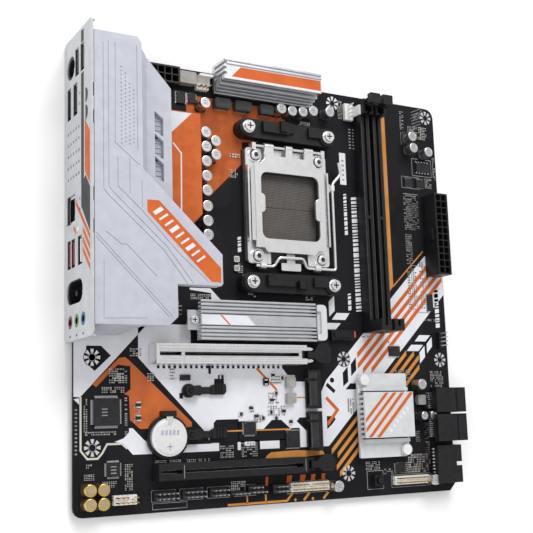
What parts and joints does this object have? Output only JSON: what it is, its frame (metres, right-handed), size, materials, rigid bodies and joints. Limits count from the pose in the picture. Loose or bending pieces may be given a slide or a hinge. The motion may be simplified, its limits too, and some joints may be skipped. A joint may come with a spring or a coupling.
{
  "type": "motherboard",
  "caption": "Flat computer main board with a lever-closed processor socket, memory and card slots, finned heatsinks and a shrouded panel of rear ports.",
  "frame": {"origin": "middle of the footprint, on the surface that the bare board lies on (the underside of the processor backplate); the board's rear bottom corner is at x -121.4 mm, y -123.7 mm and its underside at z 2.2 mm", "axes": "+Z out of the component side, +X from the port edge towards the front edge, +Y towards the edge beside the processor power socket"},
  "size_m": [0.2492, 0.2474, 0.0422],
  "materials": {
    "board": "black solder mask with printed white and orange areas",
    "dark_steel": "black-plated steel",
    "socket_housing": "moulded, satin",
    "steel": "nickel-plated stamped steel",
    "port_metal": "plated port shell",
    "coin": "stamped lid",
    "black_plastic": "moulded, satin",
    "brass": "turned",
    "aluminium": "extruded, anodised silver",
    "white_heatsink": "satin white paint",
    "white_plastic": "moulded, satin",
    "cover_plastic": "cool white, satin",
    "orange_heatsink": "satin orange paint",
    "shield_metal": "satin white paint on steel",
    "chip": "moulded epoxy"
  },
  "bodies": {
    "board_body": {"antenna_socket": "black_plastic", "audio_chip": "chip", "audio_jacks": "black_plastic", "chipset_heatsink": "white_heatsink", "chipset_package": "chip", "chipset_pin_1": "white_plastic", "chipset_pin_2": "white_plastic", "circuit_board": "board", "coin_cell": "coin", "coin_cell_holder": "black_plastic", "controller_chip": "chip", "cooler_bracket_bottom": "black_plastic", "cooler_bracket_top": "black_plastic", "cooler_screw_1": "steel", "cooler_screw_2": "steel", "cooler_screw_3": "steel", "cooler_screw_4": "steel", "cpu_backplate": "dark_steel", "cpu_fan_header": "white_plastic", "display_ports": "port_metal", "drive_socket_lower": "black_plastic", "drive_socket_upper": "black_plastic", "expansion_slot": "black_plastic", "flash_switch": "black_plastic", "front_usb_header": "black_plastic", "graphics_slot": "black_plastic", "graphics_slot_shield": "steel", "keyboard_port": "port_metal", "memory_slot_1": "black_plastic", "memory_slot_2": "black_plastic", "network_jack": "port_metal", "power_socket_24": "black_plastic", "power_socket_8": "black_plastic", "rear_cover": "cover_plastic", "rear_shield": "shield_metal", "regulator_heatsink_rear": "orange_heatsink", "regulator_heatsink_top": "aluminium", "socket_body": "socket_housing", "socket_frame": "steel", "storage_bracket": "white_plastic", "storage_connector_bottom": "black_plastic", "storage_connector_middle": "black_plastic", "storage_connector_top": "black_plastic", "storage_heatsink": "aluminium", "storage_post_bottom": "black_plastic", "storage_post_middle": "black_plastic", "storage_screw": "steel", "storage_standoff": "brass", "tact_switch": "black_plastic", "usb_stack": "port_metal"},
    "socket_lever_body": {"socket_lever": "steel"},
    "load_plate_body": {"load_plate": "steel"},
    "memory_latch_1_body": {"memory_latch_1": "black_plastic"},
    "memory_latch_2_body": {"memory_latch_2": "black_plastic"},
    "graphics_latch_body": {"graphics_slot_latch": "black_plastic"},
    "expansion_latch_body": {"expansion_slot_latch": "black_plastic"},
    "storage_latch_middle_body": {"storage_latch_middle": "black_plastic"},
    "storage_latch_bottom_body": {"storage_latch_bottom": "black_plastic"},
    "tact_button_body": {"tact_button": "black_plastic"},
    "flash_button_body": {"flash_button": "steel"}
  },
  "joints": [
    {"name": "lever_hinge", "type": "hinge", "parent": "board_body", "child": "socket_lever_body", "pos_m": [0.038, 0.0085, 0.0082], "axis": [1, 0, 0], "range_deg": [0, 110]},
    {"name": "load_plate_hinge", "type": "hinge", "parent": "board_body", "child": "load_plate_body", "pos_m": [0.0068, 0.0785, 0.0101], "axis": [-1, 0, 0], "range_deg": [0, 105]},
    {"name": "memory_latch_1_hinge", "type": "hinge", "parent": "board_body", "child": "memory_latch_1_body", "pos_m": [0.0617, 0.1123, 0.0082], "axis": [-1, 0, 0], "range_deg": [0, 30]},
    {"name": "memory_latch_2_hinge", "type": "hinge", "parent": "board_body", "child": "memory_latch_2_body", "pos_m": [0.0709, 0.1123, 0.0082], "axis": [-1, 0, 0], "range_deg": [0, 30]},
    {"name": "graphics_latch_hinge", "type": "hinge", "parent": "board_body", "child": "graphics_latch_body", "pos_m": [0.0148, -0.0422, 0.0072], "axis": [0, 1, 0], "range_deg": [0, 15]},
    {"name": "expansion_latch_hinge", "type": "hinge", "parent": "board_body", "child": "expansion_latch_body", "pos_m": [0.0148, -0.10316, 0.0072], "axis": [0, 1, 0], "range_deg": [0, 15]},
    {"name": "storage_latch_middle_turn", "type": "hinge", "parent": "board_body", "child": "storage_latch_middle_body", "pos_m": [-0.0578, -0.0613, 0.0071], "axis": [0, 0, 1], "range_deg": [0, 80]},
    {"name": "storage_latch_bottom_turn", "type": "hinge", "parent": "board_body", "child": "storage_latch_bottom_body", "pos_m": [-0.0578, -0.0847, 0.0071], "axis": [0, 0, 1], "range_deg": [0, 60]},
    {"name": "tact_button_press", "type": "slide", "parent": "board_body", "child": "tact_button_body", "axis": [0, 0, -1], "range_m": [0, 0.0003], "stiffness_N_per_m": 400, "springref_m": -0.0003},
    {"name": "flash_button_press", "type": "slide", "parent": "board_body", "child": "flash_button_body", "axis": [1, 0, 0], "range_m": [0, 0.0005], "stiffness_N_per_m": 400, "springref_m": -0.0003}
  ]
}
